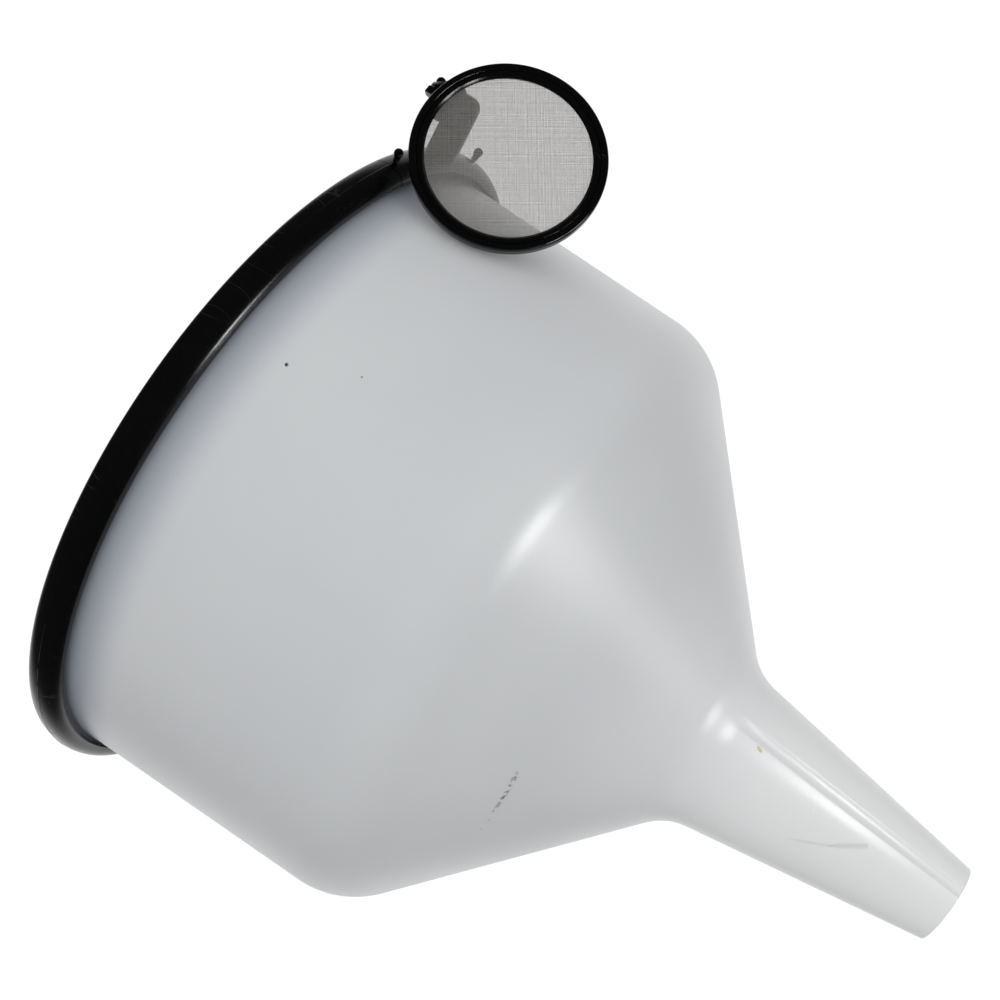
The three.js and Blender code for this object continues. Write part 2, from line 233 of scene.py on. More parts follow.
def ellipse(cx, cy, rx, ry, first, last, count):
    angles = np.radians(np.linspace(first, last, count + 1))
    return [(cx + rx * math.cos(t), cy + ry * math.sin(t)) for t in angles]


def divide(points, longest):
    """The same closed outline with its long stretches divided."""
    result = []
    for i, point in enumerate(points):
        after = points[(i + 1) % len(points)]
        count = max(1, math.ceil(math.dist(point, after) / longest))
        result += [tuple(np.add(point, np.subtract(after, point) * k / count)) for k in range(count)]
    return result


# ---- Meshes ----


def new_object(name, vertices, faces):
    mesh = bpy.data.meshes.new(name)
    mesh.from_pydata([tuple(v) for v in vertices], [], faces)
    mesh.validate()
    mesh.update()
    mesh.polygons.foreach_set("use_smooth", [True] * len(mesh.polygons))
    piece = bpy.data.objects.new(name, mesh)
    bpy.context.scene.collection.objects.link(piece)
    return piece


def revolve(name, points, angles, closed=True):
    """A closed (radius, height) outline turned about Z. An open turn gets an end cap at each end."""
    points = np.array(points, float)
    count, turns = len(points), len(angles)
    cos, sin = np.cos(angles)[:, None], np.sin(angles)[:, None]
    height = np.broadcast_to(points[None, :, 1], (turns, count))
    grid = np.stack([points[None, :, 0] * cos, points[None, :, 0] * sin, height], -1).reshape(-1, 3)
    faces = []
    for i in range(turns if closed else turns - 1):
        here, after = i * count, (i + 1) % turns * count
        for k in range(count):
            m = (k + 1) % count
            faces.append((here + k, after + k, after + m, here + m))
    if not closed:
        faces.append(tuple(range(count)))
        faces.append(tuple(reversed(range((turns - 1) * count, turns * count))))
    return new_object(name, grid, faces)


def spindle(name, points, sides):
    """An open (distance, radius) outline from axis to axis, turned about +X, its ends closed."""
    inner = points[1:-1]
    vertices = [(points[0][0], 0, 0), (points[-1][0], 0, 0)]
    for x, r in inner:
        for k in range(sides):
            t = 2 * math.pi * k / sides
            vertices.append((x, r * math.cos(t), r * math.sin(t)))
    faces = []
    for k in range(sides):
        m = (k + 1) % sides
        for i in range(len(inner) - 1):
            a, b = 2 + i * sides, 2 + (i + 1) * sides
            faces.append((a + k, b + k, b + m, a + m))
        last = 2 + (len(inner) - 1) * sides
        faces.append((0, 2 + k, 2 + m))
        faces.append((1, last + m, last + k))
    return new_object(name, vertices, faces)


def prism(name, points, low, high, bevel=0.35):
    """A plan outline between two heights, with its edges rounded over."""
    count = len(points)
    vertices = [(x, y, low) for x, y in points] + [(x, y, high) for x, y in points]
    faces = [tuple(reversed(range(count))), tuple(range(count, 2 * count))]
    faces += [(k, (k + 1) % count, (k + 1) % count + count, k + count) for k in range(count)]
    piece = new_object(name, vertices, faces)
    if bevel:
        work = bmesh.new()
        work.from_mesh(piece.data)
        work.normal_update()
        sharp = [e for e in work.edges if e.calc_face_angle(0) > math.radians(50)]
        bmesh.ops.bevel(work, geom=sharp, offset=bevel, segments=4, profile=0.5, affect="EDGES")
        work.to_mesh(piece.data)
        work.free()
        piece.data.polygons.foreach_set("use_smooth", [True] * len(piece.data.polygons))
    return piece


def bar(name, radius, start, end):
    """A round bar along +X."""
    return spindle(name, [(start, 0), (start, radius), (end, radius), (end, 0)], 40)


def as_mesh(piece):
    """Applies the piece's modifiers."""
    graph = bpy.context.evaluated_depsgraph_get()
    graph.update()
    mesh = bpy.data.meshes.new_from_object(piece.evaluated_get(graph))
    piece.modifiers.clear()
    piece.data = mesh
    return piece


def combine(piece, other, operation):
    """Joins another piece to this one, or cuts it away, and removes the other."""
    modifier = piece.modifiers.new("join", "BOOLEAN")
    modifier.object = other
    modifier.operation = operation
    modifier.solver = "EXACT"
    as_mesh(piece)
    bpy.data.objects.remove(other)
    return piece


def shade(piece, sharp_degrees=40.0):
    """Smooth faces, with the hard edges kept, and every face pointing out."""
    work = bmesh.new()
    work.from_mesh(piece.data)
    bmesh.ops.remove_doubles(work, verts=work.verts, dist=1e-4)
    bmesh.ops.recalc_face_normals(work, faces=work.faces)
    for face in work.faces:
        face.smooth = True
    for edge in work.edges:
        edge.smooth = edge.calc_face_angle(0) < math.radians(sharp_degrees)
    work.to_mesh(piece.data)
    work.free()
    return piece


def settle(piece, name, place=Matrix.Identity(4)):
    """Puts a piece made in millimetres in its place, in metres, with its object at the origin."""
    piece.data.transform(Matrix.Scale(MM, 4) @ place)
    piece.name = name
    piece.data.name = name
    return piece


def hand_over(piece, body, material, slot, *nodes):
    piece.data.materials.clear()
    piece.data.materials.append(material)
    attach(piece, body)
    if nodes:
        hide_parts(*nodes)


def at_hinge():
    """Millimetres about the hinge: X along the pin."""
    return Matrix.Translation(HINGE) @ Matrix.Rotation(PIN_TURN, 4, "Z")


def at_strainer():
    """Millimetres about the hinge: X along the pin, Y up the disc, Z out of its front."""
    return at_hinge() @ Matrix.Rotation(math.radians(90 + STRAINER_TILT), 4, "X")


# ---- Smooth noise for small moulding faults, the same each run ----


def wander(angles, seed, waves):
    """A smooth random value in about -1..1 around a circle, from a few whole waves."""
    random = np.random.default_rng(seed)
    total = np.zeros(len(angles))
    for wave in waves:
        total += random.uniform(0.4, 1.0) * np.sin(wave * np.asarray(angles) + random.uniform(0, 2 * math.pi))
    return total / (1.12 * math.sqrt(len(waves)))


# ---- Materials ----


class Nodes:
    """Short names for building a node tree."""

    def __init__(self, tree):
        self.tree = tree

    def add(self, kind, **values):
        node = self.tree.nodes.new(kind)
        for name, value in values.items():
            setattr(node, name, value)
        return node

    def link(self, source, target):
        self.tree.links.new(source, target)

    def value(self, socket, value):
        if isinstance(value, bpy.types.NodeSocket):
            self.link(value, socket)
        else:
            socket.default_value = value

    def math(self, operation, *values, clamp=False):
        node = self.add("ShaderNodeMath", operation=operation, use_clamp=clamp)
        for socket, value in zip(node.inputs, values):
            self.value(socket, value)
        return node.outputs[0]

    def vector(self, operation, *values):
        node = self.add("ShaderNodeVectorMath", operation=operation)
        for socket, value in zip(node.inputs, values):
            self.value(socket, value)
        return node.outputs["Value" if operation in ("LENGTH", "DOT_PRODUCT", "DISTANCE") else "Vector"]

    def noise(self, vector, scale, detail=2.0, roughness=0.5):
        node = self.add("ShaderNodeTexNoise")
        self.link(vector, node.inputs["Vector"])
        self.value(node.inputs["Scale"], scale)
        node.inputs["Detail"].default_value = detail
        node.inputs["Roughness"].default_value = roughness
        return node.outputs["Fac"]

    def ramp(self, value, low, high, to_low=0.0, to_high=1.0):
        node = self.add("ShaderNodeMapRange", interpolation_type="SMOOTHSTEP")
        for socket, item in zip(node.inputs, (value, low, high, to_low, to_high)):
            self.value(socket, item)
        return node.outputs[0]

    def mix(self, factor, first, second):
        node = self.add("ShaderNodeMix", data_type="RGBA")
        self.value(node.inputs["Factor"], factor)
        self.value(node.inputs["A"], first)
        self.value(node.inputs["B"], second)
        return node.outputs["Result"]


def group(name, inputs, outputs):
    """An empty shader group: inputs are (name, kind, default), outputs are (name, kind)."""
    tree = bpy.data.node_groups.new(name, "ShaderNodeTree")
    for label, kind, default in inputs:
        socket = tree.interface.new_socket(name=label, in_out="INPUT", socket_type=kind)
        if default is not None:
            socket.default_value = default
    for label, kind in outputs:
        tree.interface.new_socket(name=label, in_out="OUTPUT", socket_type=kind)
    nodes = Nodes(tree)
    return nodes, nodes.add("NodeGroupInput").outputs, nodes.add("NodeGroupOutput").inputs


def place_group(nodes, tree, **values):
    node = nodes.add("ShaderNodeGroup")
    node.node_tree = tree
    for label, value in values.items():
        nodes.value(node.inputs[label.replace("_", " ")], value)
    return node.outputs


FLOAT, VECTOR = "NodeSocketFloat", "NodeSocketVector"


def fine_scratches():
    """Thin scratches of random lengths, in the direction that the Vector is stretched."""
    nodes, inputs, outputs = group(
        "fine_scratches",
        [("Vector", VECTOR, None), ("Scale", FLOAT, 90.0), ("Rarity", FLOAT, 0.6)],
        [("Mask", FLOAT)],
    )
    bent = nodes.add("ShaderNodeTexNoise")
    nodes.link(inputs["Vector"], bent.inputs["Vector"])
    nodes.value(bent.inputs["Scale"], nodes.math("MULTIPLY", inputs["Scale"], 0.16))
    warp = nodes.vector("SCALE", bent.outputs["Color"])
    warp.node.inputs["Scale"].default_value = 0.02
    moved = nodes.vector("ADD", inputs["Vector"], warp)
    stretched = nodes.vector("MULTIPLY", moved, (1.0, 1.0, 0.05))
    lines = nodes.noise(stretched, inputs["Scale"], 1.0)
    thin = nodes.ramp(nodes.math("ABSOLUTE", nodes.math("SUBTRACT", lines, 0.5)), 0.0, 0.012, 1.0, 0.0)
    patches = nodes.noise(inputs["Vector"], nodes.math("MULTIPLY", inputs["Scale"], 0.35), 1.0)
    high = nodes.math("ADD", inputs["Rarity"], 0.08)
    nodes.link(nodes.math("MULTIPLY", thin, nodes.ramp(patches, inputs["Rarity"], high)), outputs["Mask"])
    return nodes.tree


def dark_specks():
    """Small round specks of dirt at random places."""
    nodes, inputs, outputs = group(
        "dark_specks",
        [("Vector", VECTOR, None), ("Scale", FLOAT, 60.0), ("Rarity", FLOAT, 0.9), ("Radius", FLOAT, 0.04)],
        [("Mask", FLOAT)],
    )
    cells = nodes.add("ShaderNodeTexVoronoi")
    nodes.link(inputs["Vector"], cells.inputs["Vector"])
    nodes.link(inputs["Scale"], cells.inputs["Scale"])
    chance = nodes.add("ShaderNodeSeparateColor")
    nodes.link(cells.outputs["Color"], chance.inputs[0])
    chosen = nodes.math("GREATER_THAN", chance.outputs[0], inputs["Rarity"])
    radius = nodes.math("MULTIPLY", inputs["Radius"], nodes.math("ADD", chance.outputs[1], 0.4))
    dot = nodes.ramp(cells.outputs["Distance"], nodes.math("MULTIPLY", radius, 0.5), radius, 1.0, 0.0)
    nodes.link(nodes.math("MULTIPLY", dot, chosen), outputs["Mask"])
    return nodes.tree


def line_mark():
    """A rubbed mark along a straight line between two points, broken up by noise."""
    nodes, inputs, outputs = group(
        "line_mark",
        [("Vector", VECTOR, None), ("Start", VECTOR, None), ("End", VECTOR, None),
         ("Width", FLOAT, 0.001), ("Broken", FLOAT, 0.5)],
        [("Mask", FLOAT)],
    )
    line = nodes.vector("SUBTRACT", inputs["End"], inputs["Start"])
    here = nodes.vector("SUBTRACT", inputs["Vector"], inputs["Start"])
    run = nodes.math(
        "DIVIDE", nodes.vector("DOT_PRODUCT", here, line), nodes.vector("DOT_PRODUCT", line, line), clamp=True
    )
    nearest = nodes.vector("SCALE", line)
    nodes.link(run, nearest.node.inputs["Scale"])
    away = nodes.vector("LENGTH", nodes.vector("SUBTRACT", here, nearest))
    tapered = nodes.math("MULTIPLY", inputs["Width"], nodes.ramp(run, 0.0, 0.3, 0.25, 1.0))
    near = nodes.ramp(away, nodes.math("MULTIPLY", tapered, 0.3), tapered, 1.0, 0.0)
    broken = nodes.ramp(nodes.noise(inputs["Vector"], 420.0, 3.0), inputs["Broken"],
                        nodes.math("ADD", inputs["Broken"], 0.12))
    nodes.link(nodes.math("MULTIPLY", near, broken), outputs["Mask"])
    return nodes.tree


SCRATCHES = fine_scratches()
SPECKS = dark_specks()
MARK = line_mark()


def new_material(name):
    material = bpy.data.materials.new(name)
    material.use_nodes = True
    nodes = Nodes(material.node_tree)
    shader = material.node_tree.nodes["Principled BSDF"]
    coords = nodes.add("ShaderNodeTexCoord").outputs["Object"]
    return material, nodes, shader, coords


# Marks on the body: start and end as (azimuth, height), width, how broken, strength, colour
BODY_MARKS = (
    # Scuff on the cone
    ((-98.3, 132.8), (-108.3, 133.3), 1.3, 0.45, 0.75, (0.14, 0.14, 0.14, 1)),
    # Its faint end
    ((-121.5, 135.4), (-108.3, 133.3), 1.0, 0.48, 0.6, (0.20, 0.20, 0.20, 1)),
    # Dark speck
    ((-55.7, 251.3), (-55.6, 250.9), 0.9, 0.0, 0.95, (0.02, 0.02, 0.02, 1)),
    # Brown speck
    ((-50.8, 230.4), (-50.7, 230.1), 0.5, 0.0, 0.7, (0.15, 0.12, 0.08, 1)),
    # Yellowish spot
    ((-49.2, 78.5), (-50.8, 76.8), 0.8, 0.3, 0.8, (0.62, 0.50, 0.16, 1)),
    # Thin end of the curved scrape
    ((-96.3, 54.5), (-82.0, 42.0), 0.7, 0.0, 0.2, (0.42, 0.42, 0.40, 1)),
    # Its broad end
    ((-83.2, 43.0), (-64.0, 33.0), 1.2, 0.0, 0.28, (0.40, 0.40, 0.38, 1)),
    # Pale tick
    ((-52.7, 54.7), (-67.1, 52.3), 0.3, 0.0, 0.6, (0.97, 0.97, 0.93, 1)),
)


def on_wall(azimuth, height):
    """A point on the outside of the body, in metres. The fillets are left out of account."""
    shoulder_radius = RIM_RADIUS - RIM_STEP - BARREL_DRAFT
    heights = (0, SPOUT_LENGTH, SPOUT_LENGTH + CONE_HEIGHT, FLANGE_TOP)
    radii = (TIP_RADIUS, THROAT_RADIUS, shoulder_radius, RIM_RADIUS - RIM_STEP)
    radius = np.interp(height, heights, radii)
    turn = math.radians(azimuth)
    return Vector((radius * math.cos(turn), radius * math.sin(turn), height)) * MM


def milky_plastic():
    """Natural polyethylene: pale, faintly blue, a little translucent, scuffed by use."""
    material, nodes, shader, coords = new_material("milky_plastic")
    cloud = nodes.noise(coords, 14.0, 3.0)
    cloudy = nodes.math("MULTIPLY_ADD", cloud, 2.0, -0.5, clamp=True)
    colour = nodes.mix(cloudy, (0.655, 0.672, 0.690, 1), (0.690, 0.706, 0.718, 1))
    height = nodes.add("ShaderNodeSeparateXYZ")
    nodes.link(coords, height.inputs[0])
    # Paler towards the tip: partly the plastic's own whiter tone, partly painted light standing in for light
    # that shines through and bounces into the spout.
    spout_paler_and_painted_light = nodes.ramp(height.outputs["Z"], 0.06, 0.14, 1.0, 0.0)
    colour = nodes.mix(spout_paler_and_painted_light, colour, (0.860, 0.866, 0.866, 1))
    # Painted shade: a bluish darkening of the wall just under the rim trim, standing in for the trim's shadow
    # and the black trim seen through the wall.
    painted_shade_under_trim = nodes.ramp(height.outputs["Z"], 0.251, 0.2695, 0.0, 0.80)
    colour = nodes.mix(painted_shade_under_trim, colour, (0.30, 0.335, 0.40, 1))

    specks = place_group(nodes, SPECKS, Vector=coords, Scale=45.0, Rarity=0.93, Radius=0.022)["Mask"]
    colour = nodes.mix(nodes.math("MULTIPLY", specks, 0.8), colour, (0.10, 0.09, 0.08, 1))
    for start, end, width, broken, strength, tone in BODY_MARKS:
        mark = place_group(nodes, MARK, Vector=coords, Start=on_wall(*start), End=on_wall(*end),
                           Width=width * MM, Broken=broken)["Mask"]
        colour = nodes.mix(nodes.math("MULTIPLY", mark, strength), colour, tone)
    shader.inputs["Base Color"].default_value = (0.68, 0.69, 0.70, 1)
    nodes.link(colour, shader.inputs["Base Color"])

    scratches = place_group(nodes, SCRATCHES, Vector=coords, Scale=420.0, Rarity=0.50)["Mask"]
    on_spout = nodes.ramp(height.outputs["Z"], 0.06, 0.085, 1.0, 0.0)
    spout_scratches = nodes.math("MULTIPLY", scratches, on_spout)
    patchy = nodes.math("MULTIPLY_ADD", nodes.noise(coords, 30.0, 3.0), 0.12, 0.25)
    worn = nodes.math("ADD", patchy, nodes.math("MULTIPLY", spout_scratches, 0.12))
    nodes.link(worn, shader.inputs["Roughness"])

    grain = nodes.noise(coords, 2600.0, 2.0)
    ripple = nodes.noise(coords, 120.0, 2.0)
    relief = nodes.math("ADD", nodes.math("MULTIPLY", grain, 0.10), nodes.math("MULTIPLY", ripple, 0.35))
    relief = nodes.math("SUBTRACT", relief, nodes.math("MULTIPLY", spout_scratches, 0.5))
    bump = nodes.add("ShaderNodeBump")
    bump.inputs["Strength"].default_value = 0.35
    bump.inputs["Distance"].default_value = 0.00012
    nodes.link(relief, bump.inputs["Height"])
    nodes.link(bump.outputs[0], shader.inputs["Normal"])
    shader.inputs["IOR"].default_value = 1.5
    shader.inputs["Subsurface Weight"].default_value = 0.3
    shader.inputs["Subsurface Radius"].default_value = (1.0, 0.95, 0.9)
    shader.inputs["Subsurface Scale"].default_value = 0.004
    return material


def black_plastic(name, scratch_scale, roughness):
    """Black moulded plastic with a soft gloss, fine scratches and a trace of dust."""
    material, nodes, shader, coords = new_material(name)
    dust = nodes.ramp(nodes.noise(coords, 260.0, 5.0, 0.7), 0.56, 0.80)
    dusty = nodes.math("MULTIPLY", dust, 0.35)
    colour = nodes.mix(dusty, (0.0016, 0.0016, 0.0019, 1), (0.013, 0.013, 0.012, 1))
    scratches = place_group(nodes, SCRATCHES, Vector=coords, Scale=scratch_scale, Rarity=0.55)["Mask"]
    colour = nodes.mix(nodes.math("MULTIPLY", scratches, 0.2), colour, (0.07, 0.07, 0.07, 1))
    nodes.link(colour, shader.inputs["Base Color"])
    patchy = nodes.math("MULTIPLY_ADD", nodes.noise(coords, 70.0, 3.0), 0.16, roughness - 0.02)
    worn = nodes.math("ADD", patchy, nodes.math("MULTIPLY", scratches, 0.25))
    nodes.link(nodes.math("ADD", worn, nodes.math("MULTIPLY", dust, 0.10)), shader.inputs["Roughness"])
    relief = nodes.math("ADD", nodes.noise(coords, 900.0, 3.0), nodes.noise(coords, 160.0, 2.0))
    relief = nodes.math("SUBTRACT", relief, nodes.math("MULTIPLY", scratches, 1.2))
    bump = nodes.add("ShaderNodeBump")
    bump.inputs["Strength"].default_value = 0.3
    bump.inputs["Distance"].default_value = 0.00005
    nodes.link(relief, bump.inputs["Height"])
    nodes.link(bump.outputs[0], shader.inputs["Normal"])
    shader.inputs["IOR"].default_value = 1.49
    return material


def gauze_wire():
    """Drawn wire, slightly dull, a little darker in places."""
    material, nodes, shader, coords = new_material("gauze_wire")
    tone = nodes.ramp(nodes.noise(coords, 700.0, 3.0), 0.3, 0.7)
    nodes.link(nodes.mix(tone, (0.64, 0.615, 0.585, 1), (0.70, 0.675, 0.645, 1)), shader.inputs["Base Color"])
    nodes.link(nodes.ramp(tone, 0.0, 1.0, 0.5, 0.38), shader.inputs["Roughness"])
    shader.inputs["Metallic"].default_value = 0.7
    return material


MILKY = milky_plastic()
TRIM_BLACK = black_plastic("black_trim_plastic", 110.0, 0.16)
STRAINER_BLACK = black_plastic("black_strainer_plastic", 300.0, 0.10)
WIRE = gauze_wire()

# ---- Funnel body ----


def inside_corner(a, b, c):
    """The corner a wall's thickness inside b, on the lines a-b and b-c."""
    first = np.subtract(b, a) / math.dist(a, b)
    second = np.subtract(c, b) / math.dist(b, c)
    normals = np.array((-first[1] - second[1], first[0] + second[0]))
    return b + normals * WALL / (1 + first @ second)


def inside_end(end, other):
    return end[0] - WALL * math.dist(end, other) / abs(end[1] - other[1]), end[1]


def body_outline():
    wall_top = RIM_RADIUS - RIM_STEP
    tip, throat = (TIP_RADIUS, 0.0), (THROAT_RADIUS, SPOUT_LENGTH)
    shoulder = (wall_top - BARREL_DRAFT, SPOUT_LENGTH + CONE_HEIGHT)
    top = (wall_top, FLANGE_TOP)
    throat_inside = inside_corner(tip, throat, shoulder)
    shoulder_inside = inside_corner(throat, shoulder, top)
    return outline([
        (*tip, TIP_ROUNDING),
        (*throat, THROAT_FILLET),
        (*shoulder, SHOULDER_FILLET),
        (wall_top, FLANGE_BOTTOM, FLANGE_FILLET),
        (FLANGE_RADIUS, FLANGE_BOTTOM, 0.4),
        (FLANGE_RADIUS, FLANGE_TOP, 0.4),
        (*inside_end(top, shoulder), LIP_ROUNDING),
        (*shoulder_inside, SHOULDER_FILLET - WALL),
        (*throat_inside, THROAT_FILLET + WALL),
        (*inside_end(tip, throat), 0.5),
    ], 2.0)


def flute_angles():
    """Even steps round the body, with fine ones across the flute."""
    flute = math.radians(FLUTE_AZIMUTH)
    reach = math.radians(16)
    coarse = np.linspace(flute + reach, flute + 2 * math.pi - reach, 210)
    fine = np.linspace(flute - reach, flute + reach, 66)[1:-1]
    return np.concatenate([fine, coarse])


def cut_flute(piece):
    """Sinks the vent flute into the outside of the spout: a round channel with soft edges."""
    flute = math.radians(FLUTE_AZIMUTH)
    slope = (THROAT_RADIUS - TIP_RADIUS) / SPOUT_LENGTH
    for vertex in piece.data.vertices:
        x, y, z = vertex.co
        radius = math.hypot(x, y)
        outside = radius > TIP_RADIUS + slope * z - 0.5 * WALL
        if z > SPOUT_LENGTH + 8 or not outside:
            continue
        aside = abs(math.remainder(math.atan2(y, x) - flute, 2 * math.pi)) * radius
        half = FLUTE_HALF_WIDTH * (1 - FLUTE_NARROWING * max(0.0, 1 - z / FLUTE_TAPER))
        bend = (half ** 2 + FLUTE_DEPTH ** 2) / (2 * FLUTE_DEPTH)
        sunk = math.sqrt(bend ** 2 - min(aside, bend) ** 2) - bend + FLUTE_DEPTH
        sunk = 0.5 * (sunk + math.hypot(sunk, FLUTE_EDGE))
        fade = min(1.0, max(0.0, (SPOUT_LENGTH - 2 - z) / FLUTE_FADE))
        depth = sunk * fade * fade * (3 - 2 * fade)
        vertex.co.x -= depth * x / radius
        vertex.co.y -= depth * y / radius


def slant_tip(piece):
    """Draws the tip up along the wall, away from the flute's side, so that its end is slanted."""
    flute = math.radians(FLUTE_AZIMUTH)
    rise = math.tan(math.radians(TIP_SLANT))
    widening = (THROAT_RADIUS - TIP_RADIUS) / SPOUT_LENGTH
    for vertex in piece.data.vertices:
        x, y, z = vertex.co
        if z > SLANT_REACH:
            continue
        toward = x * math.cos(flute) + y * math.sin(flute)
        lift = TIP_FLOOR + rise * (TIP_RADIUS - toward) * (1 - z / SLANT_REACH) ** 1.5
        radius = math.hypot(x, y)
        vertex.co = (x * (1 + widening * lift / radius), y * (1 + widening * lift / radius), z + lift)


def make_body():
    piece = revolve("funnel_shell", divide(body_outline(), 3.2), flute_angles())
    slant_tip(piece)
    cut_flute(piece)
    shade(piece, 50)
    settle(piece, "funnel_shell")
    hand_over(piece, "funnel", MILKY, "milky_plastic", "funnel_body")


# ---- Rim trim and connector ----


def trim_outline(grow=0.0):
    """The channel's section. The widest line has a few close points for the moulding flash."""
    wide = RIM_RADIUS - FLASH_HEIGHT + grow
    inner, lower_inner = RIM_RADIUS - UPPER_LIP, RIM_RADIUS - LOWER_LIP
    slot = FLANGE_RADIUS + FIT
    lower = ellipse(RIM_RADIUS - LOWER_SHOULDER, PARTING, wide - RIM_RADIUS + LOWER_SHOULDER,
                    PARTING - TRIM_BOTTOM, -90, -4, 14)
    upper = ellipse(RIM_RADIUS - UPPER_SHOULDER, PARTING, wide - RIM_RADIUS + UPPER_SHOULDER,
                    MOUTH - PARTING, 4, 90, 14)
    flash = [(wide, PARTING + z) for z in (-0.16, -0.08, 0.0, 0.08, 0.16)]
    return [
        (lower_inner, TRIM_BOTTOM + LIP_ROUNDING),
        (lower_inner + 0.3 * LIP_ROUNDING, TRIM_BOTTOM + 0.3 * LIP_ROUNDING),
        (lower_inner + LIP_ROUNDING, TRIM_BOTTOM),
        *lower, *flash, *upper,
        (inner + LIP_ROUNDING, MOUTH),
        (inner + 0.3 * LIP_ROUNDING, MOUTH - 0.3 * LIP_ROUNDING),
        (inner, MOUTH - LIP_ROUNDING),
        (inner, FLANGE_TOP + FIT),
        (slot, FLANGE_TOP + FIT),
        (slot, FLANGE_BOTTOM - FIT),
        (lower_inner, FLANGE_BOTTOM - FIT),
    ]


def raise_flash(piece, seed):
    """Lifts the widest line into a thin, nicked moulding flash."""
    random = np.random.default_rng(seed)
    nicks = random.uniform(-math.pi, math.pi, 60)
    for vertex in piece.data.vertices:
        x, y, z = vertex.co
        radius = math.hypot(x, y)
        if abs(z - PARTING) > 0.1 or radius < RIM_RADIUS - 0.5:
            continue
        angle = math.atan2(y, x)
        height = 0.735 + 0.245 * wander([angle], seed, (23, 41, 67, 113, 171))[0]
        if np.min(np.abs(nicks - angle)) < NICK_HALF_ANGLE:
            height = NICK_DEPTH
        share = 1.0 if abs(z - PARTING) < 0.04 else 0.35
        rise = FLASH_HEIGHT * min(1.0, share * height)
        vertex.co.x += rise * x / radius
        vertex.co.y += rise * y / radius


def make_trim():
    first, last = CONNECTOR_HALF_ANGLE, 360 - CONNECTOR_HALF_ANGLE
    angles = np.radians(np.linspace(first, last, 620))
    piece = revolve("rim_moulding", trim_outline(), angles, closed=False)
    raise_flash(piece, 11)
    shade(piece)
    settle(piece, "rim_moulding")
    hand_over(piece, "funnel", TRIM_BLACK, "black_plastic", "rim_trim")


def make_connector():
    half = CONNECTOR_HALF_ANGLE - END_GAP_ANGLE
    angles = np.radians(np.linspace(-half, half, 64))
    piece = revolve("tongue_moulding", trim_outline(-0.05), angles, closed=False)
    start, low = RIM_RADIUS - TRIM_WEB + 0.25, TONGUE_MIDDLE - TONGUE_HEIGHT / 2
    high = low + TONGUE_HEIGHT
    points = outline([(start, low), (TONGUE_END, low, TONGUE_ROUNDING),
                      (TONGUE_END, high, TONGUE_ROUNDING), (start, high)])
    plate = prism("plate", points, -TONGUE_THICKNESS / 2, TONGUE_THICKNESS / 2, 0.45)
    upright = Matrix.Rotation(math.pi / 2, 4, "X")
    plate.data.transform(upright)
    combine(piece, shade(plate), "UNION")
    slot = rectangle(SLOT_X, 0, HOOK_WIDTH / 2 + FIT, HOOK_THICKNESS / 2 + FIT, 0.5, 20)
    hole = prism("hole", slot, -2 * TONGUE_THICKNESS, 2 * TONGUE_THICKNESS, 0)
    hole.data.transform(Matrix.Translation((0, 0, TONGUE_MIDDLE)) @ upright)
    combine(piece, hole, "DIFFERENCE")
    for side in (-1, 1):
        turn = Matrix.Rotation(math.radians(side * CONNECTOR_PIN_ANGLE), 4, "Z")
        drill = bar("drill", PIN_RADIUS + 0.05, FLANGE_RADIUS - 1, RIM_RADIUS + 2)
        drill.data.transform(Matrix.Translation((0, 0, PARTING)) @ turn)
        combine(piece, drill, "DIFFERENCE")
    shade(piece)
    settle(piece, "tongue_moulding")
    hand_over(piece, "funnel", TRIM_BLACK, "black_plastic", "tongue_connector")


# ---- Ball-headed pins ----


def ball_pin(name, length, neck_start, neck_radius):
    """Along +X from its tail at 0 to the middle of its ball at length. The neck swells into the ball."""
    neck = math.degrees(math.asin(neck_radius / BALL_RADIUS))
    ball = [(length + x, r) for x, r in ellipse(0, 0, BALL_RADIUS, BALL_RADIUS, 180 - neck * 1.15, 0, 20)]
    points = [
        (0.0, 0.0), (0.0, PIN_RADIUS * 0.7), (PIN_RADIUS * 0.3, PIN_RADIUS),
        (neck_start, PIN_RADIUS), (neck_start + 0.1, neck_radius),
        (0.5 * (neck_start + length - BALL_RADIUS), neck_radius * 0.93), *ball,
    ]
    points[-1] = (length + BALL_RADIUS, 0.0)
    return spindle(name, points, 36)


def make_connector_pins():
    tail = FLANGE_RADIUS - CONNECTOR_PIN_DEPTH
    length = RIM_RADIUS + CONNECTOR_PIN_STANDOFF - tail
    for side, label in ((-1, "left"), (1, "right")):
        name = f"connector_pin_{label}_moulding"
        piece = shade(ball_pin(name, length, RIM_RADIUS - tail + 0.1, NECK_RADIUS))
        turn = Matrix.Rotation(math.radians(side * CONNECTOR_PIN_ANGLE), 4, "Z")
        settle(piece, name, turn @ Matrix.Translation((tail, 0, PARTING)))
        hand_over(piece, "funnel", TRIM_BLACK, "black_plastic", f"connector_pin_{label}")


KNUCKLE_END = KNUCKLE_START + KNUCKLE_LENGTH
EAR_START = KNUCKLE_END + EAR_GAP
EAR_END = EAR_START + EAR_THICKNESS
BORE = PIN_RADIUS + 0.1


def make_hinge_pin():
    tail = KNUCKLE_START + FIT
    length = EAR_END + BALL_RADIUS - tail
    piece = shade(ball_pin("hinge_pin_moulding", length, EAR_END - tail + 0.05, PIN_RADIUS * 1.15))
    settle(piece, "hinge_pin_moulding", at_hinge() @ Matrix.Translation((tail, 0, 0)))
    hand_over(piece, "handle", STRAINER_BLACK, "black_plastic", "hinge_pin")


# ---- Strainer handle ----


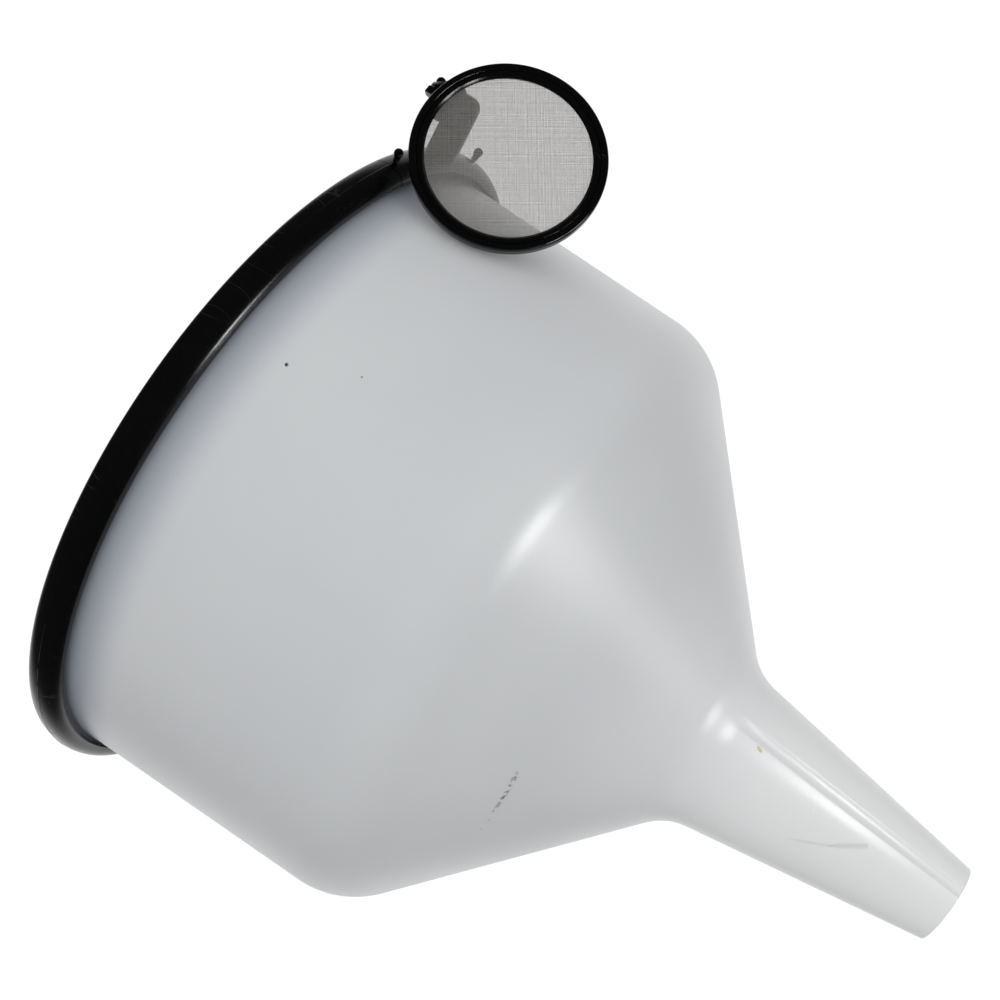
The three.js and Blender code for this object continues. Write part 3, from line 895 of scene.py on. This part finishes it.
def make_handle():
    def plan(a, b):
        point = HINGE + PIN_AXIS * a + INWARD * b
        return point.x, point.y

    half = HOOK_WIDTH / 2
    face = -TONGUE_THICKNESS / 2 - FIT
    to_slot = (Vector((SLOT_X, face, 0)) - HINGE).dot(INWARD)
    fall = HINGE_ABOVE_SLOT / to_slot
    inboard, outboard = SLOT_X - half - SHOULDER_INBOARD, SLOT_X + half + SHOULDER_OUTBOARD
    points = outline([
        plan(KNUCKLE_START + 0.03, 0),
        plan(KNUCKLE_END - 0.03, 0),
        (*plan(KNUCKLE_END - 0.03, HANDLE_START), 0.3),
        (*plan(HANDLE_OUTBOARD, HANDLE_START), CORNER_ROUNDING),
        (outboard + FLARE, face - FLARE_BACK, ELBOW_ROUNDING),
        (outboard, face),
        (inboard, face),
        (*plan(-HANDLE_INBOARD, HANDLE_ELBOW), ELBOW_ROUNDING),
        (*plan(-HANDLE_INBOARD, HANDLE_START), CORNER_ROUNDING),
        (*plan(KNUCKLE_START + 0.03, HANDLE_START), 0.3),
    ], 15)
    piece = prism("handle", points, -HOOK_THICKNESS / 2, HOOK_THICKNESS / 2, 0.4)
    for vertex in piece.data.vertices:
        inward = (Vector((vertex.co.x, vertex.co.y, 0)) - HINGE).dot(INWARD)
        vertex.co.z += HINGE.z - fall * inward
    hook_end = TONGUE_THICKNESS / 2 + HOOK_REACH
    hook = prism("hook", outline([(SLOT_X - half, face - HOOK_ROOT), (SLOT_X + half, face - HOOK_ROOT),
                                  (SLOT_X + half, hook_end, 2.0), (SLOT_X - half, hook_end, 2.0)], 15),
                 TONGUE_MIDDLE - HOOK_THICKNESS / 2, TONGUE_MIDDLE + HOOK_THICKNESS / 2, 0.35)
    combine(piece, hook, "UNION")
    square = rectangle(0, 0, KNUCKLE_HALF, KNUCKLE_HALF, KNUCKLE_ROUNDING, 15)
    knuckle = prism("knuckle", square, KNUCKLE_START, KNUCKLE_END, 0.3)
    knuckle.data.transform(Matrix.Rotation(math.pi / 2, 4, "Y"))
    bore = bar("bore", BORE, KNUCKLE_START - 1, KNUCKLE_END + 1)
    for part, operation in ((knuckle, "UNION"), (bore, "DIFFERENCE")):
        part.data.transform(at_hinge())
        combine(piece, part, operation)
    shade(piece)
    settle(piece, "handle_moulding")
    hand_over(piece, "handle", STRAINER_BLACK, "black_plastic", "strainer_handle")


# ---- Strainer ----

HOOP_BELOW_HINGE = STRAINER_RADIUS + HINGE_ABOVE_HOOP
HOOP_CENTRE = Matrix.Translation((-HINGE_FROM_MIDDLE, -HOOP_BELOW_HINGE, HINGE_BEHIND_FRONT))
OUTER_HOOP_INSIDE = STRAINER_RADIUS - OUTER_HOOP_WIDTH
GAUZE_BACK = -HOOP_DEPTH + BACK_LIP_THICKNESS + FIT
GAUZE_FRONT = GAUZE_BACK + GAUZE_THICKNESS
GAUZE_RADIUS = OUTER_HOOP_INSIDE - FIT - 0.2
ROUND = np.radians(np.arange(0, 360, 360 / 256))


def make_outer_hoop():
    lip = OUTER_HOOP_INSIDE - BACK_LIP_WIDTH
    section = divide(outline([
        (lip, -HOOP_DEPTH, 0.25),
        (STRAINER_RADIUS, -HOOP_DEPTH, 1.0),
        (STRAINER_RADIUS, 0.0, 2.2),
        (OUTER_HOOP_INSIDE, 0.0, 0.9),
        (OUTER_HOOP_INSIDE, -HOOP_DEPTH + BACK_LIP_THICKNESS, 0.2),
        (lip, -HOOP_DEPTH + BACK_LIP_THICKNESS, 0.25),
    ], 12), 0.7)
    piece = revolve("outer_hoop", section, ROUND)
    piece.data.transform(HOOP_CENTRE)
    root = np.array((HINGE_BEHIND_FRONT - HOOP_DEPTH + 1.1, -HINGE_ABOVE_HOOP - OUTER_HOOP_WIDTH / 2))
    across = np.array((-root[1], root[0])) / np.hypot(*root) * EAR_ROOT
    bearing = math.degrees(math.atan2(root[1], root[0]))
    ear = [*ellipse(0, 0, EAR_RADIUS, EAR_RADIUS, bearing + 90, bearing + 270, 20),
           tuple(root - across), tuple(root + across)]
    turn = Matrix.Rotation(-math.pi / 2, 4, "Y")
    lug = prism("lug", ear, 0, EAR_THICKNESS, 0.25)
    lug.data.transform(Matrix.Translation((EAR_END, 0, 0)) @ turn)
    combine(piece, lug, "UNION")
    combine(piece, bar("bore", BORE, EAR_START - 1, EAR_END + 1), "DIFFERENCE")
    shade(piece)
    settle(piece, "outer_hoop_moulding", at_strainer())
    hand_over(piece, "strainer", STRAINER_BLACK, "black_plastic", "strainer_outer_hoop")


def make_inner_hoop():
    outside = OUTER_HOOP_INSIDE - 0.08
    inside = OUTER_HOOP_INSIDE - FIT - INNER_HOOP_WIDTH
    section = divide(outline([
        (inside, GAUZE_FRONT + 0.12, 0.2),
        (outside, GAUZE_FRONT + 0.12),
        (outside, -INNER_HOOP_RECESS, 0.2),
        (inside + INNER_HOOP_WIDTH / 2, -INNER_HOOP_RECESS, 0.9),
        (inside, -INNER_HOOP_RECESS - INNER_HOOP_WIDTH / 2, 0.25),
    ], 12), 0.6)
    piece = revolve("inner_hoop", section, ROUND)
    piece.data.transform(HOOP_CENTRE)
    shade(piece)
    settle(piece, "inner_hoop_moulding", at_strainer())
    hand_over(piece, "strainer", STRAINER_BLACK, "black_plastic", "strainer_inner_hoop")


def weave_tree():
    """Geometry Nodes: parallel crimped wires that fill a circle, over and under a second set."""
    tree = bpy.data.node_groups.new("woven_wires", "GeometryNodeTree")
    tree.is_modifier = True
    face = tree.interface
    for label, kind, default in (
        ("Disc Radius", FLOAT, 0.0293), ("Pitch", FLOAT, 0.00031), ("Wire Diameter", FLOAT, 0.000125),
        ("Over First", FLOAT, 0.0), ("Seed", "NodeSocketInt", 1), ("Material", "NodeSocketMaterial", None),
    ):
        socket = face.new_socket(name=label, in_out="INPUT", socket_type=kind)
        if default is not None:
            socket.default_value = default
    face.new_socket(name="Geometry", in_out="OUTPUT", socket_type="NodeSocketGeometry")
    nodes = Nodes(tree)
    given = nodes.add("NodeGroupInput").outputs
    result = nodes.add("NodeGroupOutput").inputs

    def whole(value):
        node = nodes.add("FunctionNodeFloatToInt", rounding_mode="ROUND")
        nodes.link(value, node.inputs[0])
        return node.outputs[0]

    def line(count, start, step):
        node = nodes.add("GeometryNodeMeshLine", mode="OFFSET")
        nodes.link(count, node.inputs["Count"])
        nodes.link(start, node.inputs["Start Location"])
        nodes.link(step, node.inputs["Offset"])
        return node.outputs[0]

    def point(x=0.0, y=0.0, z=0.0):
        node = nodes.add("ShaderNodeCombineXYZ")
        for socket, value in zip(node.inputs, (x, y, z)):
            nodes.value(socket, value)
        return node.outputs[0]

    half = nodes.math("FLOOR", nodes.math("DIVIDE", given["Disc Radius"], given["Pitch"]))
    reach = nodes.math("MULTIPLY", half, given["Pitch"])
    low = nodes.math("MULTIPLY", reach, -1.0)
    wires = whole(nodes.math("ADD", nodes.math("MULTIPLY", half, 2.0), 1.0))
    row = line(wires, point(low), point(given["Pitch"]))
    wire = line(wires, point(0.0, low), point(0.0, given["Pitch"]))

    place = nodes.add("GeometryNodeInstanceOnPoints")
    nodes.link(row, place.inputs["Points"])
    nodes.link(wire, place.inputs["Instance"])
    number = nodes.add("GeometryNodeInputIndex").outputs[0]
    keep = nodes.add("GeometryNodeStoreNamedAttribute", data_type="FLOAT", domain="INSTANCE")
    nodes.link(place.outputs[0], keep.inputs["Geometry"])
    keep.inputs["Name"].default_value = "wire_number"
    nodes.link(number, keep.inputs["Value"])
    loose = nodes.add("GeometryNodeRealizeInstances")
    nodes.link(keep.outputs[0], loose.inputs[0])

    where = nodes.add("ShaderNodeSeparateXYZ")
    nodes.link(nodes.add("GeometryNodeInputPosition").outputs[0], where.inputs[0])
    x, y = where.outputs["X"], where.outputs["Y"]
    named = nodes.add("GeometryNodeInputNamedAttribute", data_type="FLOAT")
    named.inputs["Name"].default_value = "wire_number"
    chord = nodes.math("SQRT", nodes.math("SUBTRACT", nodes.math("POWER", given["Disc Radius"], 2.0),
                                          nodes.math("MULTIPLY", x, x)))
    beyond = nodes.math("GREATER_THAN", nodes.math("ABSOLUTE", y), chord)
    trim = nodes.add("GeometryNodeDeleteGeometry", domain="POINT")
    nodes.link(loose.outputs[0], trim.inputs["Geometry"])
    nodes.link(beyond, trim.inputs["Selection"])

    crossing = nodes.math("ADD", nodes.math("DIVIDE", y, given["Pitch"]), named.outputs[0])
    phase = nodes.math("MULTIPLY", nodes.math("ADD", crossing, given["Over First"]), math.pi)
    wire_radius = nodes.math("MULTIPLY", given["Wire Diameter"], 0.5)
    crimp = nodes.math("MULTIPLY", nodes.math("COSINE", phase), wire_radius)
    shift = nodes.add("FunctionNodeRandomValue", data_type="FLOAT")
    nodes.link(nodes.math("MULTIPLY", given["Pitch"], -WIRE_STRAY), shift.inputs["Min"])
    nodes.link(nodes.math("MULTIPLY", given["Pitch"], WIRE_STRAY), shift.inputs["Max"])
    nodes.link(whole(named.outputs[0]), shift.inputs["ID"])
    nodes.link(given["Seed"], shift.inputs["Seed"])
    move = nodes.add("GeometryNodeSetPosition")
    nodes.link(trim.outputs[0], move.inputs["Geometry"])
    nodes.link(point(shift.outputs["Value"], 0.0, crimp), move.inputs["Offset"])

    curve = nodes.add("GeometryNodeMeshToCurve")
    nodes.link(move.outputs[0], curve.inputs["Mesh"])
    ring = nodes.add("GeometryNodeCurvePrimitiveCircle", mode="RADIUS")
    ring.inputs["Resolution"].default_value = 3
    nodes.link(nodes.math("MULTIPLY", given["Wire Diameter"], WIRE_FULLNESS), ring.inputs["Radius"])
    swept = nodes.add("GeometryNodeCurveToMesh")
    nodes.link(curve.outputs[0], swept.inputs["Curve"])
    nodes.link(ring.outputs[0], swept.inputs["Profile Curve"])
    swept.inputs["Fill Caps"].default_value = True
    whole_cloth = nodes.add("GeometryNodeRealizeInstances")
    nodes.link(swept.outputs[0], whole_cloth.inputs[0])
    finish = nodes.add("GeometryNodeSetMaterial")
    nodes.link(whole_cloth.outputs[0], finish.inputs["Geometry"])
    nodes.link(given["Material"], finish.inputs["Material"])
    nodes.link(finish.outputs[0], result["Geometry"])
    return tree


def make_gauze():
    tree = weave_tree()
    sockets = {s.name: s.identifier for s in tree.interface.items_tree if s.in_out == "INPUT"}
    middle = Matrix.Translation((0, 0, (GAUZE_BACK + GAUZE_FRONT) / 2))
    turn = Matrix.Rotation(math.radians(GAUZE_TURN), 4, "Z")
    for name, quarter, over in (("gauze_warp", 0.0, 0.0), ("gauze_weft", 90.0, 1.0)):
        piece = new_object(name, [(0, 0, 0)], [])
        modifier = piece.modifiers.new("weave", "NODES")
        modifier.node_group = tree
        modifier[sockets["Disc Radius"]] = GAUZE_RADIUS * MM
        modifier[sockets["Pitch"]] = GAUZE_PITCH * MM
        modifier[sockets["Wire Diameter"]] = WIRE_DIAMETER * MM
        modifier[sockets["Over First"]] = over
        modifier[sockets["Seed"]] = 5 + int(quarter)
        modifier[sockets["Material"]] = WIRE
        as_mesh(piece)
        lay = turn @ Matrix.Rotation(math.radians(quarter), 4, "Z")
        piece.data.transform(Matrix.Scale(1 / MM, 4))
        settle(piece, name, at_strainer() @ HOOP_CENTRE @ middle @ lay)
        hand_over(piece, "strainer", WIRE, "wire_gauze", "strainer_gauze")


make_body()
make_trim()
make_connector()
make_connector_pins()
make_hinge_pin()
make_handle()
make_outer_hoop()
make_inner_hoop()
make_gauze()

# ---- Studio ----

WHITE_TO_THE_EYE = 1.05
SOFT_LIGHT = 0.65
BACKDROP = (-0.2749, 0.9326, 0.2340)
LAMPS_AIM = Vector((0, 0, 0.17))
FLOOR_HEIGHT = -1.1
FLOOR_REACH = 6


def soft_light(name, place, size, power, colour=(1, 1, 1), in_gloss=True, in_diffuse=True):
    data = bpy.data.lights.new(name, "AREA")
    data.shape = "RECTANGLE"
    data.size, data.size_y = size
    data.energy = power
    data.color = colour
    lamp = bpy.data.objects.new(name, data)
    bpy.context.scene.collection.objects.link(lamp)
    lamp.location = place
    lamp.rotation_euler = (LAMPS_AIM - Vector(place)).to_track_quat("-Z", "Y").to_euler()
    lamp.visible_glossy = in_gloss
    lamp.visible_diffuse = in_diffuse
    lamp.visible_camera = False


def studio():
    corners = ((-1, -1), (1, -1), (1, 1), (-1, 1))
    points = [(FLOOR_REACH * x, FLOOR_REACH * y, FLOOR_HEIGHT) for x, y in corners]
    floor = new_object("floor", points, [(0, 1, 2, 3)])
    pale = bpy.data.materials.new("pale_floor")
    pale.use_nodes = True
    nodes = Nodes(pale.node_tree)
    shader = pale.node_tree.nodes["Principled BSDF"]
    to_the_eye = nodes.add("ShaderNodeLightPath").outputs["Is Camera Ray"]
    nodes.link(nodes.mix(to_the_eye, (0.5, 0.5, 0.5, 1), (0, 0, 0, 1)), shader.inputs["Base Color"])
    nodes.link(nodes.ramp(to_the_eye, 0.0, 1.0, 0.25, WHITE_TO_THE_EYE), shader.inputs["Emission Strength"])
    shader.inputs["Roughness"].default_value = 0.9
    shader.inputs["Emission Color"].default_value = (1, 1, 1, 1)
    floor.data.materials.append(pale)
    floor.visible_glossy = False

    # The world is white to the eye, even for soft light, and dim in gloss except at the backdrop.
    world = bpy.data.worlds.new("studio")
    world.use_nodes = True
    bpy.context.scene.world = world
    nodes = Nodes(world.node_tree)
    background = world.node_tree.nodes["Background"]
    background.inputs["Color"].default_value = (1, 1, 1, 1)
    direction = nodes.add("ShaderNodeTexCoord").outputs["Generated"]
    behind = nodes.vector("DOT_PRODUCT", direction, BACKDROP)
    in_gloss = nodes.ramp(behind, 0.40, 0.9, 0.03, 1.0)
    path = nodes.add("ShaderNodeLightPath").outputs
    soft = nodes.mix(path["Is Glossy Ray"], (*[SOFT_LIGHT] * 3, 1), in_gloss)
    strength = nodes.mix(path["Is Camera Ray"], soft, (*[WHITE_TO_THE_EYE] * 3, 1))
    nodes.link(strength, background.inputs["Strength"])

    soft_light("key", (0.34, -0.11, -0.66), (0.30, 0.20), 1.7, in_diffuse=False)
    soft_light("near_key", (0.135, -0.11, 0.0), (0.055, 0.045), 0.11, in_diffuse=False)
    soft_light("right_fill", (0.80, -0.70, -0.45), (1.0, 1.0), 2.2, in_gloss=False)
    soft_light("camera_fill", (0.55, -1.4, 0.25), (1.2, 1.2), 3.4, (0.97, 0.985, 1.0), in_gloss=False)
    bpy.context.scene.view_settings.view_transform = "Standard"


studio()
